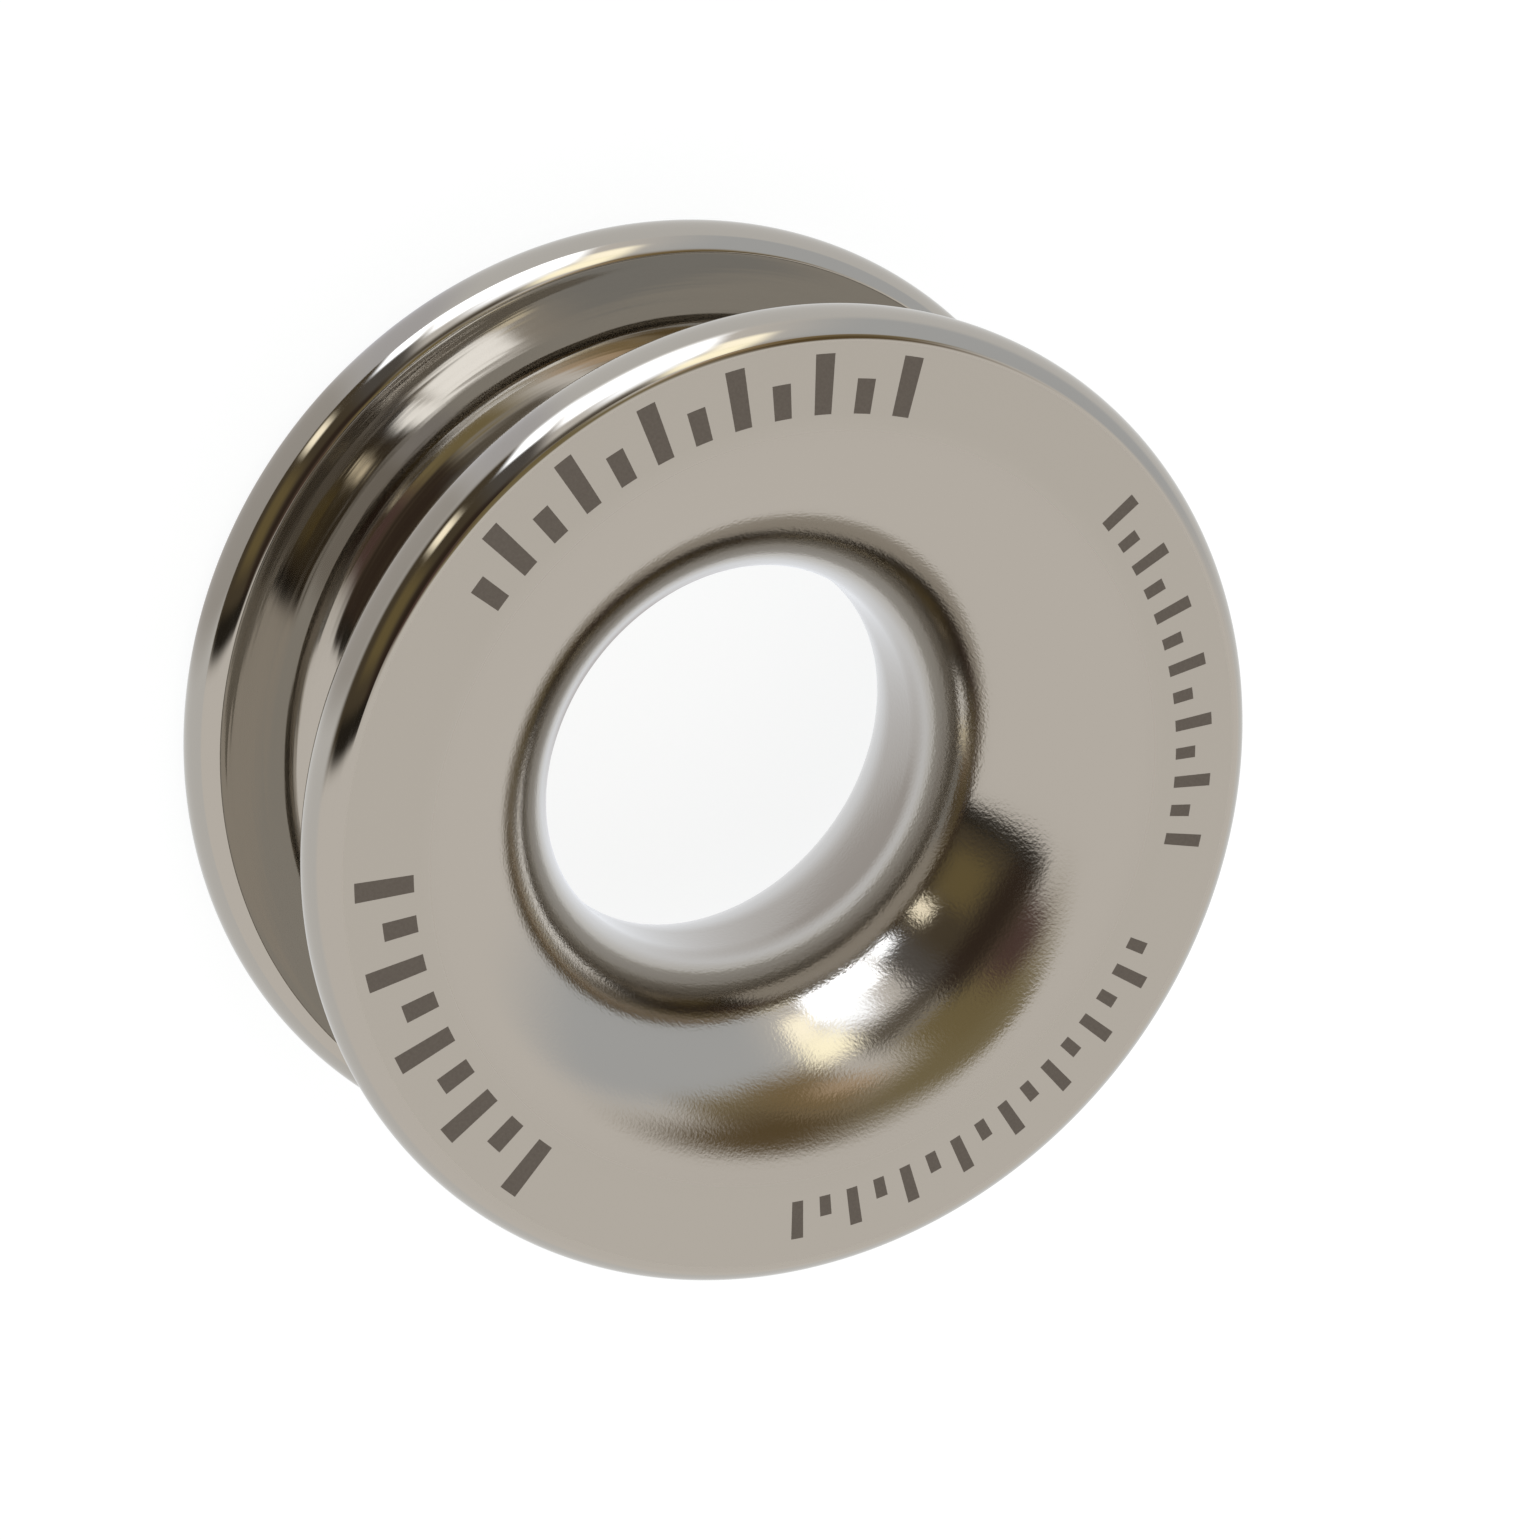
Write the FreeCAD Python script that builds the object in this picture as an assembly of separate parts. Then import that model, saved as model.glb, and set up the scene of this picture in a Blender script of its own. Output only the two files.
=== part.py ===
import FreeCAD, Part
import math
import os

# A low friction ring, turned from one piece of titanium. A line runs through the trumpet bore and
# a lashing lies in the deep groove about the outside. The ring's axis is Z, it lies on its back
# face at Z = 0 with the axis through the origin, and its two sides are mirror images.

# Driving dimensions: lengths in millimetres, angles in degrees
BORE_DIAMETER = 13.0  # at the throat, half way between the two faces
THROAT_LAND = 1.4  # short straight length of the throat, between the two flares
BORE_FULLNESS = 0.59  # of the flares' curves: 0.71 makes quarter ellipses, less is flatter
THROAT_WALL = 2.7  # metal between the throat and the groove's floor, where the ring is loaded
LASHING_DIAMETER = 9.0  # rope that the groove takes
LASHING_SLACK = 0.1  # by which the groove is wider than that rope, at its widest place
GROOVE_DEPTH = 4.07  # from the groove's widest place down to its floor
GROOVE_FULLNESS = 0.48  # of the curves down to the floor, measured as for the flares
LIP_DROP = 0.345  # by which each side of the groove closes in again, over the lashing
LIP_RADIUS = 5.6  # hollow round under each lip
CROWN_RADIUS = 1.35  # rounded rim beside the groove, seen in section
CROWN_WRAP = 63.0  # how far the rim's round turns in from the outward direction, to the lip's edge
CROWN_RUNOUT = 27.5  # slope at which the rim's round runs out on the flat face
LAND_WIDTH = 2.4  # flat ring of the face, between the trumpet's mouth and the rim
EDGE_BREAK = 0.12  # small round that takes the sharpness off the four turned edges

# Sizes that follow from them, from the bore outwards. The groove is widest at hollow_radius, closes
# in to its lips at lip_radius, and each rim's round starts at the lip.
throat_radius = BORE_DIAMETER / 2
floor_radius = throat_radius + THROAT_WALL
hollow_radius = floor_radius + GROOVE_DEPTH
hollow_offset = (LASHING_DIAMETER + LASHING_SLACK) / 2
lip_radius = hollow_radius + math.sqrt(2 * LIP_RADIUS * LIP_DROP - LIP_DROP**2)
lip_offset = hollow_offset - LIP_DROP
lip_angle = math.degrees(math.asin(1 - LIP_DROP / LIP_RADIUS))
crown_centre = lip_radius - CROWN_RADIUS * math.cos(math.radians(CROWN_WRAP))
crown_offset = lip_offset + CROWN_RADIUS * math.sin(math.radians(CROWN_WRAP))
half_width = crown_offset + CROWN_RADIUS * math.cos(math.radians(CROWN_RUNOUT))
face_radius = crown_centre + CROWN_RADIUS * math.sin(math.radians(CROWN_RUNOUT))
mouth_radius = face_radius - LAND_WIDTH
SAME_RADIUS = 0.001  # two circles this close in radius are the same edge


def place(radius, offset):
    """A point of the section: its distance from the axis and from the ring's middle plane."""
    return FreeCAD.Vector(radius, 0, half_width + offset)


def line(start, end):
    return Part.LineSegment(start, end).toShape()


def arc(radius, offset, bend, first, last):
    """A round of the section about a centre, between two angles up from the outward direction."""
    points = []
    for angle in (first, (first + last) / 2, last):
        turn = math.radians(angle)
        points.append(place(radius + bend * math.cos(turn), offset + bend * math.sin(turn)))
    return Part.Arc(*points).toShape()


def quarter(start, corner, end, fullness):
    """A quarter curve from start to end, tangent there to the lines that meet at the corner."""
    curve = Part.BezierCurve()
    curve.setPoles([start, corner, end])
    curve.setWeight(2, fullness)
    return curve.toShape()


def side(way):
    """Half of the section without its throat, 1 for the front and -1 for the back of the ring."""
    throat = place(throat_radius, way * THROAT_LAND / 2)
    throat_corner = place(throat_radius, way * half_width)
    mouth = place(mouth_radius, way * half_width)
    face_edge = place(face_radius, way * half_width)
    hollow = place(hollow_radius, way * hollow_offset)
    floor_corner = place(floor_radius, way * hollow_offset)
    floor = place(floor_radius, 0)
    crown_start = way * (90 - CROWN_RUNOUT)
    lip_centre = way * (hollow_offset - LIP_RADIUS)
    return [
        quarter(throat, throat_corner, mouth, BORE_FULLNESS),
        line(mouth, face_edge),
        arc(crown_centre, way * crown_offset, CROWN_RADIUS, crown_start, -way * CROWN_WRAP),
        arc(hollow_radius, lip_centre, LIP_RADIUS, way * lip_angle, way * 90),
        quarter(hollow, floor_corner, floor, GROOVE_FULLNESS),
    ]


def is_sharp(edge):
    """Whether an edge is one of the circles where the rim's round meets the face or the lip."""
    circle = edge.Curve
    if not isinstance(circle, Part.Circle):
        return False
    return min(abs(circle.Radius - face_radius), abs(circle.Radius - lip_radius)) < SAME_RADIUS


def ring():
    """The whole ring: its section turned about the axis, with its sharp edges broken."""
    throat = line(place(throat_radius, -THROAT_LAND / 2), place(throat_radius, THROAT_LAND / 2))
    edges = side(1) + side(-1) + [throat]
    section = Part.Face(Part.Wire(Part.sortEdges(edges)[0]))
    turned = section.revolve(FreeCAD.Vector(), FreeCAD.Vector(0, 0, 1), 360)
    return turned.makeFillet(EDGE_BREAK, [edge for edge in turned.Edges if is_sharp(edge)])


os.makedirs("parts", exist_ok=True)
solid = ring()
solid.exportStep("parts/ring.step")
box = solid.optimalBoundingBox()
print(f"ring {box.XLength:.3f} x {box.YLength:.3f} x {box.ZLength:.3f} mm, {solid.Volume:.1f} mm3")
print(f"face from {mouth_radius:.3f} to {face_radius:.3f} mm, lip at {lip_radius:.3f}, {lip_offset:.3f} mm")
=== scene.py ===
import math

import bpy
from mathutils import Matrix, Vector


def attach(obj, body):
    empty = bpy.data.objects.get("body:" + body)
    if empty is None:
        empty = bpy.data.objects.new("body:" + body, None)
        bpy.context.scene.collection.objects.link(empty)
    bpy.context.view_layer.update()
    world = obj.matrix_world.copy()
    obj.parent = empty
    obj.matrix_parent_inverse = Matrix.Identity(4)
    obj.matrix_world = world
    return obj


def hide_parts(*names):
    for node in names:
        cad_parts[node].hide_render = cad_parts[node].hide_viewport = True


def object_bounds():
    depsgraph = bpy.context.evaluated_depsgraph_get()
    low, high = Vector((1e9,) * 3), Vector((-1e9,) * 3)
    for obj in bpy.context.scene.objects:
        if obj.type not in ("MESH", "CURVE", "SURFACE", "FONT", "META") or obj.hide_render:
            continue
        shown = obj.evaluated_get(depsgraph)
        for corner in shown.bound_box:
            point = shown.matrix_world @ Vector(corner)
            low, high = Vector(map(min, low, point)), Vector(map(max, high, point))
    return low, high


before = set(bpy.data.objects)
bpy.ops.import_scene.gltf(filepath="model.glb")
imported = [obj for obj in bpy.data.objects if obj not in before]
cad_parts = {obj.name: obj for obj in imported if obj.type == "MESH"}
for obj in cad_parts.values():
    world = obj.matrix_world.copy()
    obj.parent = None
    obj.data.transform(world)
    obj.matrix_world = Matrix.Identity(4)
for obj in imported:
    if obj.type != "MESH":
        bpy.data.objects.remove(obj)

cad_low, cad_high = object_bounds()

# A low friction ring of turned titanium, lying on its back face with its axis upright. Lengths are
# in metres, written in millimetres times MM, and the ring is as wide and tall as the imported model.
MM = 0.001
half_width = (cad_high.z - cad_low.z) / 2
rim_radius = (cad_high.x - cad_low.x) / 2

# The section, seen to one side of the axis
THROAT_RADIUS = 6.5 * MM
THROAT_LAND = 1.4 * MM
FLARE_FULLNESS = 0.59
FLOOR_RADIUS = 9.2 * MM
HOLLOW_RADIUS = 13.27 * MM  # where the groove is widest
HOLLOW_WIDTH = 9.1 * MM
FLOOR_FULLNESS = 0.48
LIP_DROP = 0.345 * MM
LIP_HOLLOW = 5.6 * MM
CROWN_RADIUS = 1.35 * MM
CROWN_WRAP = math.radians(63.0)
CROWN_RUNOUT = math.radians(27.5)
LAND_WIDTH = 2.4 * MM
LIP_BREAK = 0.12 * MM
FACE_BREAK = 0.42 * MM  # wider than the model's 0.12 mm, for the soft dark line round the land

hollow_offset = HOLLOW_WIDTH / 2
lip_offset = hollow_offset - LIP_DROP
lip_angle = math.asin(1 - LIP_DROP / LIP_HOLLOW)
crown_centre = rim_radius - CROWN_RADIUS
crown_offset = half_width - CROWN_RADIUS * math.cos(CROWN_RUNOUT)
lip_radius = crown_centre + CROWN_RADIUS * math.cos(CROWN_WRAP)
face_radius = crown_centre + CROWN_RADIUS * math.sin(CROWN_RUNOUT)
mouth_radius = face_radius - LAND_WIDTH

# How finely the section is stepped and turned
TURN_STEPS = 432
TRUMPET_STEPS = 32
CROWN_STEPS = 24
LIP_STEPS = 8
FLOOR_STEPS = 20
BREAK_STEPS = 4
HOLDING_ROW = 0.15 * MM  # from the land's edge, so that the land stays flat up to its rounded edge
SAME_PLACE = 0.001 * MM
BESIDE = 0.02 * MM  # surely past a row of points, and well short of the next

# Etched ticks on the front face, in rows along it, long and short by turns like those of a scale.
# A row has the azimuth of its first tick in degrees, how many ticks it has, how many turn steps a
# tick and a tick with its gap take up, and where its long and its short ticks start and end.
LARGE_LONG = (12.85 * MM, 14.75 * MM)
LARGE_SHORT = (12.85 * MM, 13.95 * MM)
SMALL_LONG = (13.05 * MM, 14.35 * MM)
SMALL_SHORT = (13.05 * MM, 13.75 * MM)
TICK_ROWS = [
    {"first": 42.0, "count": 9, "wide": 3, "pitch": 7, "long": LARGE_LONG, "short": LARGE_SHORT},
    {"first": -63.0, "count": 12, "wide": 3, "pitch": 7, "long": LARGE_LONG, "short": LARGE_SHORT},
    {"first": 209.5, "count": 13, "wide": 2, "pitch": 5, "long": SMALL_LONG, "short": SMALL_SHORT},
    {"first": 131.0, "count": 16, "wide": 2, "pitch": 5, "long": SMALL_LONG, "short": SMALL_SHORT},
]

# Finishes, in the order of the ring's material slots
SATIN = 0
POLISHED = 1
TURNED = 2
ETCHED = 3

# Finishes' values. A spacing is that of a finish's lines, a relief is their height, and a drift is
# how much they move along the section as they go round. Roughness runs from the smoothest lines to
# the roughest, or from the bore to the lands. The satin's grain is too fine on the real metal to
# show in a picture of the whole ring, so it is drawn as coarse as it needs to show.
FINE_LINES = 0.2 * MM
BROAD_LINES = 0.45 * MM
LINE_DETAIL = 2.0
LINE_RANGE = (0.3, 0.7)
STEADY = 0.02
WANDERING = 0.05
FINE_RELIEF = 0.0008 * MM
COARSE_RELIEF = 0.0015 * MM
BROAD_RELIEF = 0.012 * MM
POLISHED_ROUGHNESS = (0.05, 0.09)
TURNED_ROUGHNESS = (0.05, 0.12)
SATIN_ROUGHNESS = (0.12, 0.32)
SATIN_FROM = (11.3 * MM, 12.8 * MM)
GRAIN = 0.1 * MM
GRAIN_RELIEF = 0.0035 * MM
ETCH_GRAIN = 0.1 * MM
ETCH_ROUGHNESS = 0.7
ETCH_DARK = "#5C544D"
ETCH_LIGHT = "#6E665D"

# The camera looks at the ring's middle. Angles are in degrees, the lens in millimetres.
CAMERA_AZIMUTH = 90.0  # about the ring's axis
CAMERA_TILT = 30.94  # away from the ring's axis
CAMERA_DISTANCE = 174.9 * MM
CAMERA_ROLL = 127.83
CAMERA_PAN = -0.5615
CAMERA_PITCH = -0.2235
SENSOR = 36.0
LENS = 128.19
CLIP_START = 10 * MM

# The studio is a pale tent with dark and bright patches in it, each seen from the ring in one
# direction. They are set from where the metal points and the tone that it shows there. A patch
# has its azimuth and its angle down from straight up, half its length along those two, and how soft
# its edge is, all in degrees. A few also have a turn in degrees, from the first direction to the
# second, or a strength. Each lies over those before it. Colours are what the metal shows, so they
# are lightened by the metal's own tone.
METAL = "#B7B2AA"
TENT = "#B2ABA1"
ALL_ROUND = 200
PATCHES = [
    # The grey wall, and the brown ceiling over it
    {"colour": "#9B9A97", "at": (-107, 73), "half": (35, 25), "soft": (26, 14)},
    {"colour": "#6A5E42", "at": (-40, 12), "half": (72, 14), "soft": (70, 16)},
    {"colour": "#6C5F46", "at": (-97, 42), "half": (14, 8), "soft": (14, 10)},
    {"colour": "#4E3F26", "at": (-108, 30), "half": (23, 10), "soft": (26, 14)},
    {"colour": "#6A583A", "at": (-79, 37), "half": (12, 13), "soft": (14, 14)},
    {"colour": "#9C856A", "at": (-70, 33), "half": (9, 4), "turn": -30, "soft": (12, 8)},
    {"colour": "#66593B", "at": (-22, 25), "half": (26, 12), "soft": (22, 10)},
    # Dark openings, and what is seen in them
    {"colour": "#44322C", "at": (13, 28), "half": (19, 12), "soft": (18, 14)},
    {"colour": "#4A4236", "at": (-26, 43), "half": (27, 6), "soft": (16, 10)},
    {"colour": "#3F3628", "at": (11, 64), "half": (32, 32), "soft": (10, 12)},
    {"colour": "#5B4E31", "at": (17, 66), "half": (10, 12), "soft": (10, 14)},
    {"colour": "#2B2119", "at": (13, 41), "half": (30, 7), "soft": (6, 10)},
    {"colour": "#47423C", "at": (-18, 61), "half": (7, 16), "soft": (8, 12)},
    {"colour": "#1F1B15", "at": (39, 62), "half": (4, 26), "soft": (5, 12)},
    # Lamps
    {"colour": "#FFF3D6", "at": (-63, 66), "half": (5, 8), "soft": (5, 8)},
    {"colour": "#FFF3D0", "at": (-60, 53), "half": (8, 7), "soft": (7, 9)},
    {"colour": "#FFFFFF", "strength": 1.1, "at": (-45, 60), "half": (8, 5), "turn": -15, "soft": (10, 12)},
    {"colour": "#FFFFFF", "strength": 1.6, "at": (-43, 79), "half": (14, 14), "turn": 4, "soft": (6, 9)},
    {"colour": "#FFFFFF", "strength": 1.6, "at": (-25, 91), "half": (5, 17), "turn": 18, "soft": (5, 8)},
    {"colour": "#F4E6C8", "at": (-0.5, 78), "half": (3.5, 8), "soft": (5, 7)},
    # The floor, a painted shade on it to one side, and a painted shadow that darkens it in below the ring
    {"colour": "#ABA7A0", "at": (0, 140), "half": (ALL_ROUND, 46), "soft": (1, 5)},
    {"colour": "#908A82", "at": (10, 108), "half": (20, 14), "soft": (12, 6)},
    {"colour": "#9D9996", "at": (-17, 108), "half": (8, 14), "soft": (10, 6)},
    {"colour": "#B8B6B3", "at": (0, 180), "half": (ALL_ROUND, 50), "soft": (1, 16)},
    {"colour": "#A7A39E", "at": (0, 180), "half": (ALL_ROUND, 36), "soft": (1, 18)},
    {"colour": "#938D87", "at": (0, 180), "half": (ALL_ROUND, 23), "soft": (1, 12)},
]

# The floor's width in metres, its paint, and the light added for the camera, so that it comes out
# near white where no shadow falls on it
FLOOR_SIZE = 4
FLOOR_PAINT = "#8C8C8C"
FLOOR_LIFT = (0.86, 0.868, 0.872, 1.0)
WHITE = (1.0, 1.0, 1.0, 1.0)

# The sRGB curve, which is a line near black and a power above it
CURVE_LINE_END = 0.04045
CURVE_LINE_SLOPE = 12.92
CURVE_OFFSET = 0.055
CURVE_POWER = 2.4

# Sockets of nodes that have several of one name
MIX_FIRST = 6
MIX_SECOND = 7
MIX_RESULT = 2
RANGE_FROM_MIN = 7
RANGE_FROM_MAX = 8
RANGE_TO_MIN = 9
RANGE_TO_MAX = 10


def colour(code, strength=1.0):
    """An sRGB hex colour as linear red, green, blue, times a strength, and full alpha."""
    linear = []
    for start in (1, 3, 5):
        part = int(code[start : start + 2], 16) / 255
        if part <= CURVE_LINE_END:
            linear.append(part / CURVE_LINE_SLOPE)
        else:
            linear.append(((part + CURVE_OFFSET) / (1 + CURVE_OFFSET)) ** CURVE_POWER)
    return (*[strength * part for part in linear], 1.0)


def add(tree, kind, inputs, **settings):
    """Adds a node with its settings. Each input gets a value, or a link from a node's output."""
    made = tree.nodes.new(kind)
    for name, value in settings.items():
        setattr(made, name, value)
    for socket, value in inputs.items():
        if isinstance(value, bpy.types.NodeSocket):
            tree.links.new(value, made.inputs[socket])
        else:
            made.inputs[socket].default_value = value
    return made


def mixed(tree, share, first, second):
    """A mix of two colours, with that share of the second."""
    inputs = {"Factor": share, MIX_FIRST: first, MIX_SECOND: second}
    return add(tree, "ShaderNodeMix", inputs, data_type="RGBA").outputs[MIX_RESULT]


def by_metal(code, strength=1.0):
    """The light that the bare metal shows in a colour."""
    light = [part / tone for part, tone in zip(colour(code, strength), colour(METAL))]
    return (*light[:3], 1.0)


def arc(radius, offset, bend, first, last, steps):
    """Points along a round of the section about a centre, after its first point."""
    angles = [first + (last - first) * step / steps for step in range(1, steps + 1)]
    return [(radius + bend * math.cos(angle), offset + bend * math.sin(angle)) for angle in angles]


def quarter(start, corner, end, fullness, steps):
    """Points along a quarter curve, after its start, tangent to the lines that meet at the corner."""
    points = []
    for step in range(1, steps + 1):
        along = step / steps
        weights = ((1 - along) ** 2, 2 * fullness * along * (1 - along), along**2)
        total = sum(weights)
        pairs = zip(start, corner, end)
        points.append(tuple(sum(w * v for w, v in zip(weights, values)) / total for values in pairs))
    return points


def front_half():
    """Points of the section's front half, from the throat over the face and rim to the floor."""
    throat = (THROAT_RADIUS, THROAT_LAND / 2)
    throat_corner = (THROAT_RADIUS, half_width)
    mouth = (mouth_radius, half_width)
    hollow = (HOLLOW_RADIUS, hollow_offset)
    floor_corner = (FLOOR_RADIUS, hollow_offset)
    floor = (FLOOR_RADIUS, 0)
    lip_centre = hollow_offset - LIP_HOLLOW
    ends = {*LARGE_LONG, *LARGE_SHORT, *SMALL_LONG, *SMALL_SHORT}
    rows = sorted(ends | {face_radius - HOLDING_ROW, face_radius})
    crown_start = math.pi / 2 - CROWN_RUNOUT
    points = [throat]
    points += quarter(throat, throat_corner, mouth, FLARE_FULLNESS, TRUMPET_STEPS)
    points += [(radius, half_width) for radius in rows]
    points += arc(crown_centre, crown_offset, CROWN_RADIUS, crown_start, -CROWN_WRAP, CROWN_STEPS)
    points += arc(HOLLOW_RADIUS, lip_centre, LIP_HOLLOW, lip_angle, math.pi / 2, LIP_STEPS)
    points += quarter(hollow, floor_corner, floor, FLOOR_FULLNESS, FLOOR_STEPS)
    return points


def draw_section(outline):
    """Draws a closed wire in edit mode, by extruding one point along the outline."""
    bpy.ops.object.select_all(action="DESELECT")
    bpy.ops.mesh.primitive_plane_add(size=MM)
    bpy.ops.object.mode_set(mode="EDIT")
    bpy.ops.mesh.select_mode(type="VERT")
    bpy.ops.mesh.merge(type="CENTER")
    places = [Vector((radius, 0, half_width + offset)) for radius, offset in outline]
    bpy.ops.transform.translate(value=places[0])
    for start, end in zip(places, places[1:] + places[:1]):
        bpy.ops.mesh.extrude_vertices_move(TRANSFORM_OT_translate={"value": end - start})
    bpy.ops.mesh.select_all(action="SELECT")
    bpy.ops.mesh.remove_doubles(threshold=SAME_PLACE)


def break_edge(ring, radius, offset, turn, bend):
    """Rounds off a sharp edge of both sides, where the surface turns by an angle."""
    bpy.ops.mesh.select_all(action="DESELECT")
    bpy.ops.object.mode_set(mode="OBJECT")
    for corner in ring.data.vertices:
        aside = abs(abs(corner.co.z - half_width) - offset)
        corner.select = max(aside, abs(corner.co.xy.length - radius)) < SAME_PLACE
    bpy.ops.object.mode_set(mode="EDIT")
    bpy.ops.mesh.bevel(offset=bend * math.tan(turn / 2), segments=BREAK_STEPS)


def finish_of(face, ticks):
    """Which finish a face of the ring has, by its place on the section and about the axis."""
    radius = face.center.xy.length
    offset = face.center.z - half_width
    if FLOOR_RADIUS - BESIDE < radius < lip_radius and abs(offset) < hollow_offset + BESIDE:
        return TURNED
    on_land = abs(abs(offset) - half_width) < SAME_PLACE
    if radius > mouth_radius and not on_land:
        return POLISHED
    azimuth = math.atan2(face.center.y, face.center.x) % (2 * math.pi)
    step = int(azimuth / (2 * math.pi) * TURN_STEPS)
    start, end = ticks.get(step, (0, 0))
    if on_land and offset > 0 and start < radius < end:
        return ETCHED
    return SATIN


def tick_stretches():
    """For each step about the axis that a tick covers, where the tick starts and ends."""
    stretches = {}
    for row in TICK_ROWS:
        first = round(row["first"] / 360 * TURN_STEPS)
        for count in range(row["count"]):
            for step in range(row["wide"]):
                place = (first + count * row["pitch"] + step) % TURN_STEPS
                stretches[place] = row["short"] if count % 2 else row["long"]
    return stretches


def turned_ring():
    """The ring: its section spun about the axis, with the four sharp edges rounded off."""
    front = front_half()
    back = [(radius, -offset) for radius, offset in reversed(front[:-1])]
    draw_section(front + back)
    ring = bpy.context.object
    ring.name = "turned_ring"
    bpy.ops.mesh.spin(steps=TURN_STEPS, angle=2 * math.pi, center=(0, 0, 0), axis=(0, 0, 1))
    bpy.ops.mesh.select_all(action="SELECT")
    bpy.ops.mesh.remove_doubles(threshold=SAME_PLACE)
    break_edge(ring, face_radius, half_width, CROWN_RUNOUT, FACE_BREAK)
    break_edge(ring, lip_radius, lip_offset, math.pi - lip_angle - CROWN_WRAP, LIP_BREAK)
    bpy.ops.mesh.select_all(action="SELECT")
    bpy.ops.mesh.normals_make_consistent(inside=False)
    bpy.ops.object.mode_set(mode="OBJECT")
    bpy.ops.object.shade_smooth()
    return ring


def new_material(name):
    """An empty material and its nodes."""
    material = bpy.data.materials.new(name)
    material.use_nodes = True
    material.node_tree.nodes.clear()
    return material, material.node_tree


def on_ring(tree):
    """Where a point of the ring lies, and how far it is from the axis."""
    place = add(tree, "ShaderNodeTexCoord", {}).outputs["Object"]
    across = add(tree, "ShaderNodeVectorMath", {0: place, 1: (1, 1, 0)}, operation="MULTIPLY")
    radius = add(tree, "ShaderNodeVectorMath", {0: across.outputs[0]}, operation="LENGTH")
    return place, radius.outputs["Value"]


def turning_lines(tree, place, radius, spacing, drift):
    """Fine rings that a turning tool leaves, which fade in and out as they go round."""
    height = add(tree, "ShaderNodeSeparateXYZ", {0: place}).outputs["Z"]
    section = add(tree, "ShaderNodeCombineXYZ", {"X": radius, "Z": height}).outputs[0]
    wander = add(tree, "ShaderNodeVectorMath", {0: place, "Scale": drift}, operation="SCALE").outputs[0]
    lines = add(tree, "ShaderNodeVectorMath", {0: section, 1: wander}, operation="ADD").outputs[0]
    noise = add(tree, "ShaderNodeTexNoise", {"Vector": lines, "Scale": 1 / spacing, "Detail": LINE_DETAIL})
    return noise.outputs["Fac"]


def raised(tree, height, relief, below=None):
    """A surface normal with lines of that relief in it, on top of another one's if there is one."""
    inputs = {"Height": height, "Distance": relief}
    if below:
        inputs["Normal"] = below
    return add(tree, "ShaderNodeBump", inputs).outputs["Normal"]


def spread(tree, value, start, end, low, high, **settings):
    """Takes a value between start and end to one between low and high."""
    inputs = {"Value": value, "From Min": start, "From Max": end, "To Min": low, "To Max": high}
    return add(tree, "ShaderNodeMapRange", inputs, **settings).outputs["Result"]


def finish_metal(tree, roughness, normal):
    """Bare titanium with that roughness and surface."""
    inputs = {"Base Color": colour(METAL), "Metallic": 1.0, "Roughness": roughness, "Normal": normal}
    metal = add(tree, "ShaderNodeBsdfPrincipled", inputs)
    add(tree, "ShaderNodeOutputMaterial", {"Surface": metal.outputs["BSDF"]})


def polished_turned_titanium():
    """Titanium polished on the lathe, on the rims: it mirrors the room almost sharply, drawn out a
    little by the fine rings that the polish has left."""
    material, tree = new_material("polished_turned_titanium")
    place, radius = on_ring(tree)
    lines = turning_lines(tree, place, radius, FINE_LINES, STEADY)
    roughness = spread(tree, lines, *LINE_RANGE, *POLISHED_ROUGHNESS)
    finish_metal(tree, roughness, raised(tree, lines, FINE_RELIEF))
    return material


def finely_turned_titanium():
    """Titanium as the tool and a quick polish left it, in the groove: its mirror is broken into
    streaks that run round the ring."""
    material, tree = new_material("finely_turned_titanium")
    place, radius = on_ring(tree)
    lines = turning_lines(tree, place, radius, FINE_LINES, STEADY)
    streaks = turning_lines(tree, place, radius, BROAD_LINES, WANDERING)
    roughness = spread(tree, lines, *LINE_RANGE, *TURNED_ROUGHNESS)
    surface = raised(tree, streaks, BROAD_RELIEF)
    finish_metal(tree, roughness, raised(tree, lines, COARSE_RELIEF, surface))
    return material


def satin_turned_titanium():
    """Titanium rubbed to a satin on its flat lands, which glow evenly, and smoother down the bore,
    where a fine grain makes what it mirrors soft and ragged at the edges."""
    material, tree = new_material("satin_turned_titanium")
    place, radius = on_ring(tree)
    lines = turning_lines(tree, place, radius, FINE_LINES, STEADY)
    satin = spread(tree, radius, *SATIN_FROM, *SATIN_ROUGHNESS, interpolation_type="SMOOTHSTEP")
    grain = add(tree, "ShaderNodeTexNoise", {"Vector": place, "Scale": 1 / GRAIN}).outputs["Fac"]
    grainy = raised(tree, grain, GRAIN_RELIEF)
    finish_metal(tree, satin, raised(tree, lines, FINE_RELIEF, grainy))
    return material


def laser_etched_titanium():
    """Titanium darkened by a laser, matt and warm grey, without the turned lines."""
    material, tree = new_material("laser_etched_titanium")
    place = add(tree, "ShaderNodeTexCoord", {}).outputs["Object"]
    grain = add(tree, "ShaderNodeTexNoise", {"Vector": place, "Scale": 1 / ETCH_GRAIN}).outputs["Fac"]
    tone = mixed(tree, grain, colour(ETCH_DARK), colour(ETCH_LIGHT))
    inputs = {"Base Color": tone, "Roughness": ETCH_ROUGHNESS, "Metallic": 0.0}
    oxide = add(tree, "ShaderNodeBsdfPrincipled", inputs)
    add(tree, "ShaderNodeOutputMaterial", {"Surface": oxide.outputs["BSDF"]})
    return material


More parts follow.
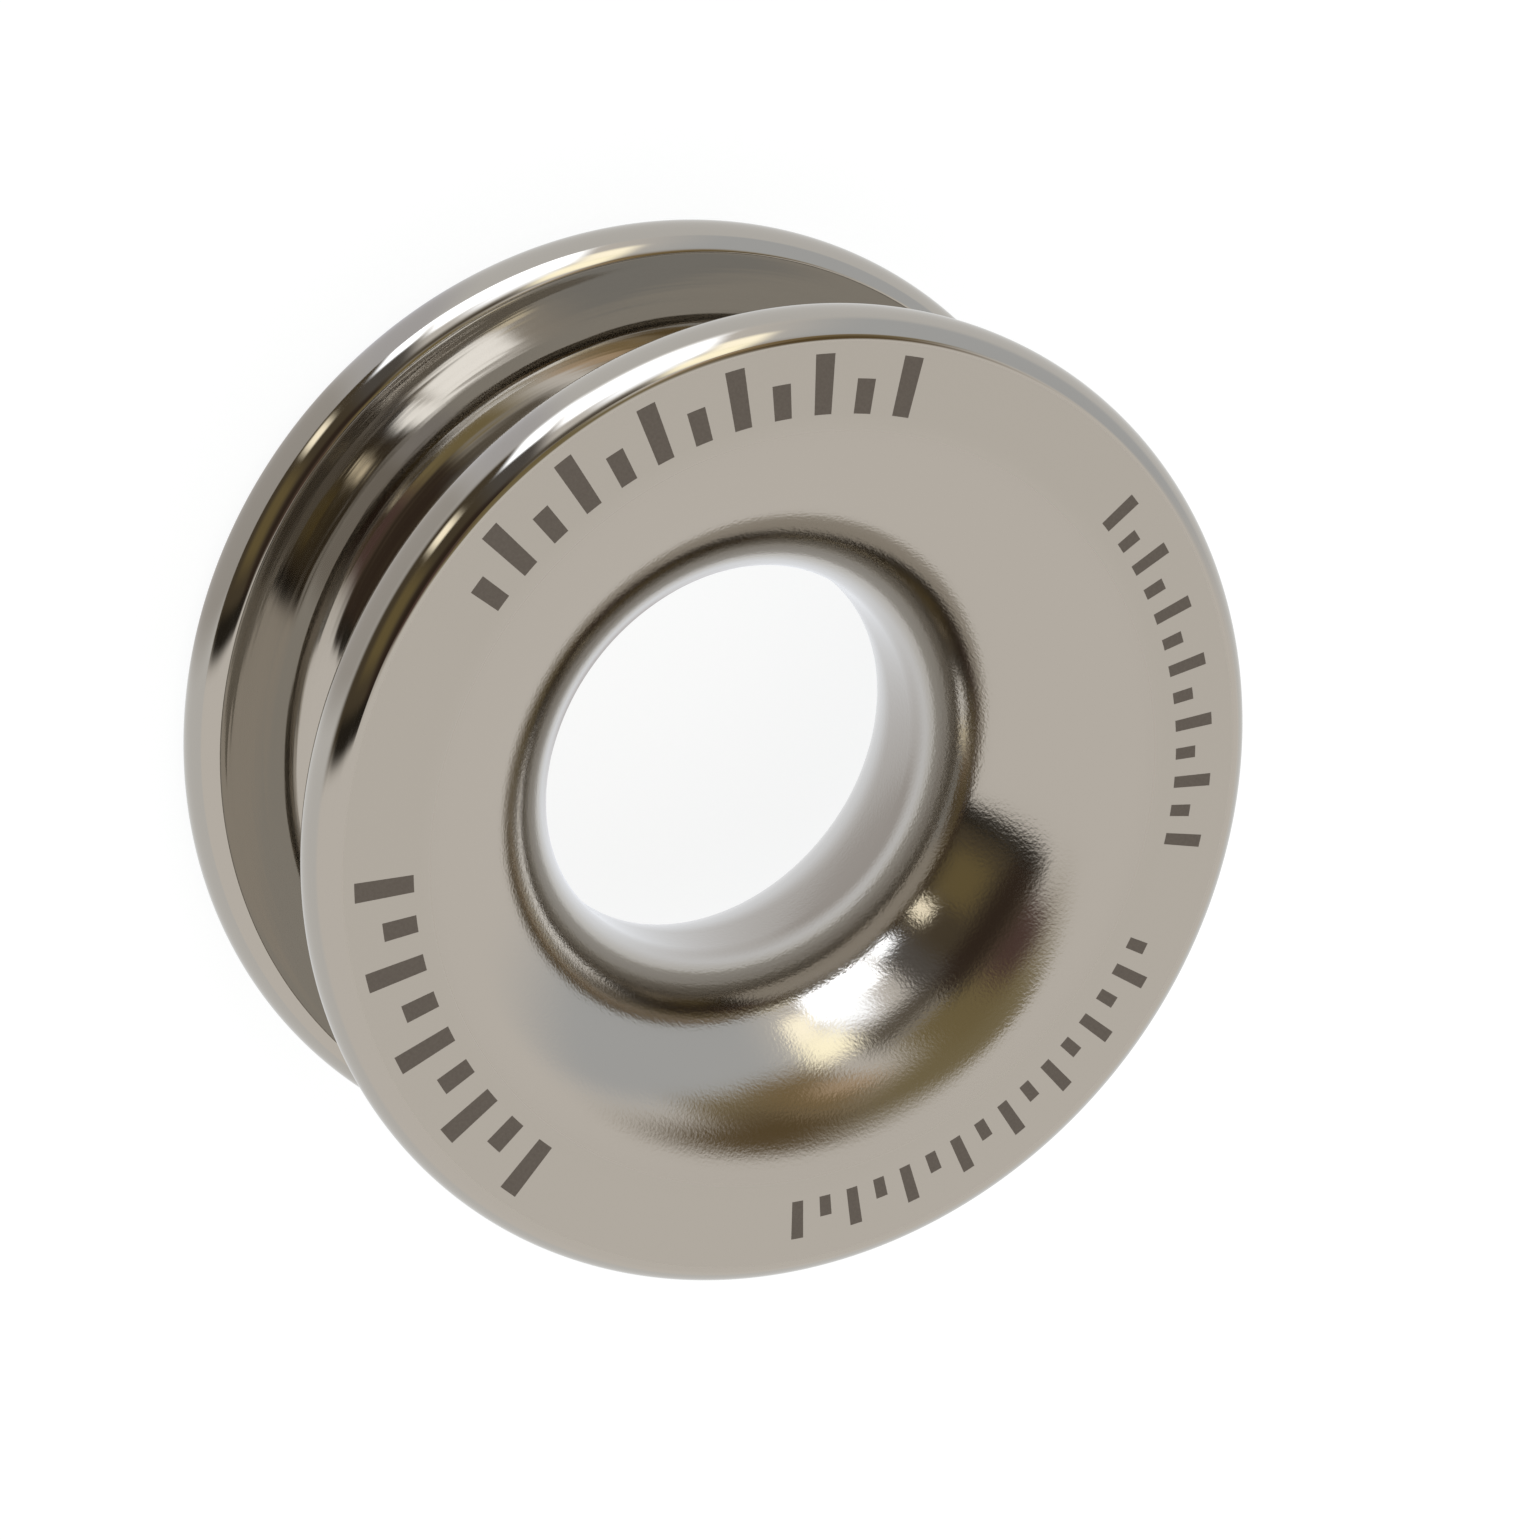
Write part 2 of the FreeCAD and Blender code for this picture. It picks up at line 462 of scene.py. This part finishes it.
def patch_mask(tree, direction, patch):
    """How far a direction lies in a patch of the studio, from 0 to 1."""
    turn = (0, 0, math.radians(patch.get("turn", 0)))
    inputs = {"Vector": direction, "Location": (*patch["at"], 0), "Rotation": turn}
    placed = add(tree, "ShaderNodeMapping", inputs, vector_type="TEXTURE").outputs[0]
    size = add(tree, "ShaderNodeVectorMath", {0: placed}, operation="ABSOLUTE").outputs[0]
    half = Vector((*patch["half"], 1))
    edge = Vector((*patch["soft"], 1)) / 2
    inputs = {
        "Vector": size,
        RANGE_FROM_MIN: half + edge,
        RANGE_FROM_MAX: half - edge,
        RANGE_TO_MIN: (0, 0, 0),
        RANGE_TO_MAX: (1, 1, 1),
    }
    settings = {"data_type": "FLOAT_VECTOR", "interpolation_type": "SMOOTHSTEP"}
    inside = add(tree, "ShaderNodeMapRange", inputs, **settings).outputs["Vector"]
    parts = add(tree, "ShaderNodeSeparateXYZ", {0: inside}).outputs
    return add(tree, "ShaderNodeMath", {0: parts["X"], 1: parts["Y"]}, operation="MULTIPLY").outputs[0]


def studio_light(tree, way):
    """The light that the ring gets from some way: the tent's, with the patches over it."""
    parts = add(tree, "ShaderNodeSeparateXYZ", {0: way}).outputs
    azimuth = add(tree, "ShaderNodeMath", {0: parts["Y"], 1: parts["X"]}, operation="ARCTAN2").outputs[0]
    down = add(tree, "ShaderNodeMath", {0: parts["Z"]}, operation="ARCCOSINE").outputs[0]
    radians = add(tree, "ShaderNodeCombineXYZ", {"X": azimuth, "Y": down}).outputs[0]
    inputs = {0: radians, "Scale": math.degrees(1)}
    direction = add(tree, "ShaderNodeVectorMath", inputs, operation="SCALE").outputs[0]
    shown = by_metal(TENT)
    for patch in PATCHES:
        patch_light = by_metal(patch["colour"], patch.get("strength", 1.0))
        shown = mixed(tree, patch_mask(tree, direction, patch), shown, patch_light)
    return shown


def light_studio():
    """A soft tent round the ring with its patches, which the camera sees as plain white."""
    world = bpy.data.worlds.new("studio")
    bpy.context.scene.world = world
    world.use_nodes = True
    tree = world.node_tree
    tree.nodes.clear()
    light = studio_light(tree, add(tree, "ShaderNodeTexCoord", {}).outputs["Generated"])
    seen = add(tree, "ShaderNodeLightPath", {}).outputs["Is Camera Ray"]
    background = add(tree, "ShaderNodeBackground", {"Color": mixed(tree, seen, light, WHITE)})
    add(tree, "ShaderNodeOutputWorld", {"Surface": background.outputs[0]})


def lay_floor():
    """A plain pale floor. What the camera sees of it is lifted to white where no shadow falls, and
    metal sees the studio's lower patches glow in it, with a painted shade and a painted shadow."""
    bpy.ops.object.select_all(action="DESELECT")
    bpy.ops.mesh.primitive_plane_add(size=FLOOR_SIZE)
    floor = bpy.context.object
    floor.name = "studio_floor"
    material, tree = new_material("matt_pale_floor")
    paint = add(tree, "ShaderNodeBsdfDiffuse", {"Color": colour(FLOOR_PAINT)}).outputs[0]
    path = add(tree, "ShaderNodeLightPath", {}).outputs
    inputs = {"Color": FLOOR_LIFT, "Strength": path["Is Camera Ray"]}
    lift = add(tree, "ShaderNodeEmission", inputs).outputs[0]
    lifted = add(tree, "ShaderNodeAddShader", {0: paint, 1: lift}).outputs[0]
    # Metal sees the floor glow in the studio's tones from the ring's middle, a painted shade to one side
    # and a painted shadow below the ring among them
    place = add(tree, "ShaderNodeTexCoord", {}).outputs["Object"]
    below = add(tree, "ShaderNodeVectorMath", {0: place, 1: (0, 0, half_width)}, operation="SUBTRACT")
    way = add(tree, "ShaderNodeVectorMath", {0: below.outputs[0]}, operation="NORMALIZE").outputs[0]
    glow_with_painted_shadow = add(tree, "ShaderNodeEmission", {"Color": studio_light(tree, way)}).outputs[0]
    inputs = {0: path["Is Glossy Ray"], 1: lifted, 2: glow_with_painted_shadow}
    both = add(tree, "ShaderNodeMixShader", inputs).outputs[0]
    add(tree, "ShaderNodeOutputMaterial", {"Surface": both})
    floor.data.materials.append(material)


def place_camera():
    """Looks down on the ring at the photograph's angle, roll and framing."""
    camera = bpy.data.cameras.new("camera")
    camera.sensor_width = SENSOR
    camera.lens = LENS
    camera.clip_start = CLIP_START
    stand = bpy.data.objects.new("camera", camera)
    bpy.context.scene.collection.objects.link(stand)
    place = Matrix.Translation((0, 0, half_width))
    place @= Matrix.Rotation(math.radians(CAMERA_AZIMUTH), 4, "Z")
    place @= Matrix.Rotation(math.radians(CAMERA_TILT), 4, "X")
    place @= Matrix.Translation((0, 0, CAMERA_DISTANCE))
    place @= Matrix.Rotation(math.radians(CAMERA_ROLL), 4, "Z")
    place @= Matrix.Rotation(math.radians(CAMERA_PAN), 4, "Y")
    place @= Matrix.Rotation(math.radians(CAMERA_PITCH), 4, "X")
    stand.matrix_world = place
    bpy.context.scene.camera = stand


ring = turned_ring()
ring.data.materials.append(satin_turned_titanium())
ring.data.materials.append(polished_turned_titanium())
ring.data.materials.append(finely_turned_titanium())
ring.data.materials.append(laser_etched_titanium())
ticks = tick_stretches()
for face in ring.data.polygons:
    face.material_index = finish_of(face, ticks)
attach(ring, "root")
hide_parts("ring")

light_studio()
lay_floor()
place_camera()
bpy.context.scene.view_settings.view_transform = "Standard"
